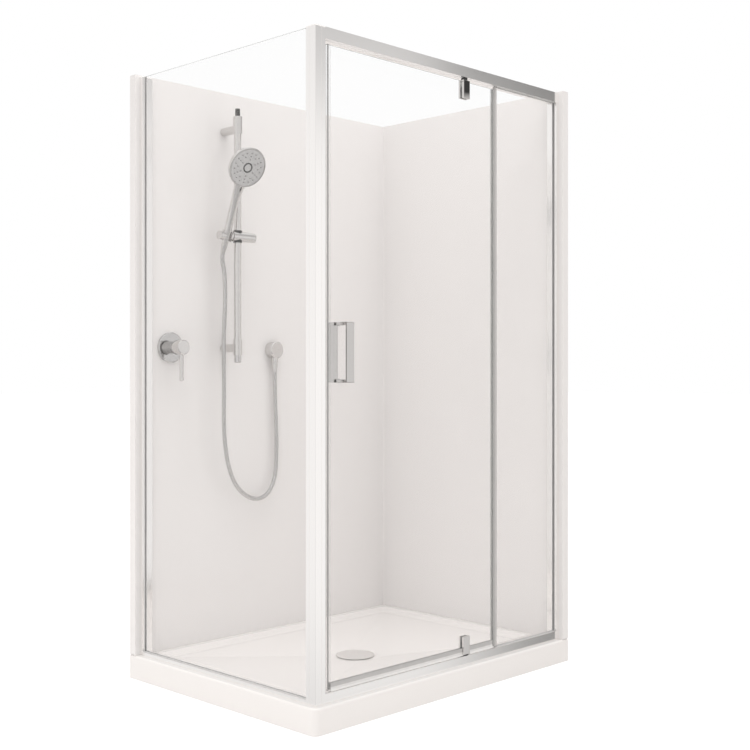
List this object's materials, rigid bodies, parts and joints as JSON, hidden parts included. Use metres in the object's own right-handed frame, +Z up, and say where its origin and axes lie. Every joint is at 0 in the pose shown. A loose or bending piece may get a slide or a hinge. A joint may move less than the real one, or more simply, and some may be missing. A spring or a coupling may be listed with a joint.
{
  "type": "shower enclosure",
  "caption": "Corner shower enclosure: tray, two-sided wall liner, framed glass return, pivot door with inline glass, slide-rail hand shower and lever mixer.",
  "frame": {"origin": "centre of the tray's waste outlet, at floor level", "axes": "+X along the front from the corner post to the side wall, +Y to the rear wall, +Z up"},
  "size_m": [1.2, 0.916, 1.986],
  "materials": {
    "acrylic_white": "gloss white acrylic-stone shell",
    "foam": "matt foam",
    "liner_white": "gloss white acrylic sheet",
    "board": "matt board",
    "white_aluminium": "gloss white powder coat",
    "clear_glass": "clear toughened glass",
    "clear_seal": "translucent vinyl",
    "grey_seal": "satin grey vinyl",
    "dark_seal": "satin dark vinyl",
    "gasket": "matt grey rubber",
    "silicone": "satin white silicone",
    "chrome": "polished chrome",
    "dark_cap": "dark satin plastic",
    "steel": "plain steel",
    "brass": "plain cast brass",
    "white_plastic": "gloss white plastic",
    "black_plastic": "satin black plastic",
    "hose_metal": "satin silver hose",
    "nozzle_rubber": "soft grey silicone"
  },
  "bodies": {
    "enclosure": {"shower_tray": "acrylic_white", "tray_base": "foam", "waste_flange": "chrome", "waste_body": "white_plastic", "waste_gasket": "dark_seal", "wall_liner": "liner_white", "wall_backing": "board", "wall_seal": "silicone", "corner_post": "white_aluminium", "frame_caps": "white_plastic", "left_wall_channel": "white_aluminium", "right_wall_channel": "white_aluminium", "head_rail": "white_aluminium", "sill_rail": "white_aluminium", "rail_infills": "white_plastic", "side_sill": "white_aluminium", "side_glass": "clear_glass", "side_gaskets": "gasket", "inline_glass": "clear_glass", "inline_gaskets": "gasket", "frame_seals": "grey_seal", "channel_screws": "steel", "pivot_bushes": "black_plastic", "rail_tube": "chrome", "rail_brackets": "chrome", "rail_end_caps": "dark_cap", "hose": "hose_metal", "wall_outlet": "chrome", "outlet_hose_nut": "chrome", "outlet_nipple": "brass", "mixer_body": "brass", "mixer_plate": "chrome", "mixer_sleeve": "chrome", "mixer_cartridge": "black_plastic"},
    "door": {"door_glass": "clear_glass", "door_closing_seal": "dark_seal", "door_tail_seal": "clear_seal", "door_bottom_seal": "clear_seal", "clamps_outer": "chrome", "clamps_inner": "chrome", "clamp_pads": "gasket", "clamp_screws": "steel", "pivot_pins": "steel", "handle_outer": "chrome", "handle_inner": "chrome", "handle_bolts": "steel"},
    "slider": {"slider_body": "chrome", "slider_liner": "black_plastic"},
    "slider_knob": {"clamp_knob": "chrome"},
    "cradle": {"handset_cradle": "chrome"},
    "handset": {"handset_body": "chrome", "handset_face": "chrome", "handset_nozzles": "nozzle_rubber", "handset_ring": "dark_cap", "handset_hose_nut": "chrome"},
    "mixer_stem": {"mixer_spindle": "brass"},
    "mixer_lever_cap": {"mixer_handle": "chrome", "mixer_lever": "chrome"},
    "drain_cover": {"waste_cover": "chrome", "waste_strainer": "white_plastic"}
  },
  "joints": [
    {"name": "door_pivot", "type": "hinge", "parent": "enclosure", "child": "door", "pos_m": [0.073, -0.421, 1], "axis": [0, 0, 1], "range_deg": [0, 95]},
    {"name": "slider_slide", "type": "slide", "parent": "enclosure", "child": "slider", "axis": [0, 0, 1], "range_m": [-0.33, 0.33], "deforming": ["hose"]},
    {"name": "knob_turn", "type": "hinge", "parent": "slider", "child": "slider_knob", "pos_m": [-0.19, 0.341, 1.476], "axis": [1, 0, 0], "range_deg": [-45, 45]},
    {"name": "cradle_tilt", "type": "hinge", "parent": "slider", "child": "cradle", "pos_m": [-0.283, 0.341, 1.476], "axis": [1, 0, 0], "range_deg": [-12, 20], "deforming": ["hose"]},
    {"name": "handset_lift", "type": "slide", "parent": "cradle", "child": "handset", "axis": [0, -0.3584, 0.9336], "range_m": [0, 0.06], "deforming": ["hose"]},
    {"name": "mixer_turn", "type": "hinge", "parent": "enclosure", "child": "mixer_stem", "pos_m": [-0.4615, 0.382, 1.091], "axis": [0, 1, 0], "range_deg": [-50, 50]},
    {"name": "mixer_lift", "type": "hinge", "parent": "mixer_stem", "child": "mixer_lever_cap", "pos_m": [-0.4615, 0.382, 1.091], "axis": [-1, 0, 0], "range_deg": [0, 25]},
    {"name": "drain_cover_lift", "type": "slide", "parent": "enclosure", "child": "drain_cover", "axis": [0, 0, 1], "range_m": [0, 0.04]}
  ]
}
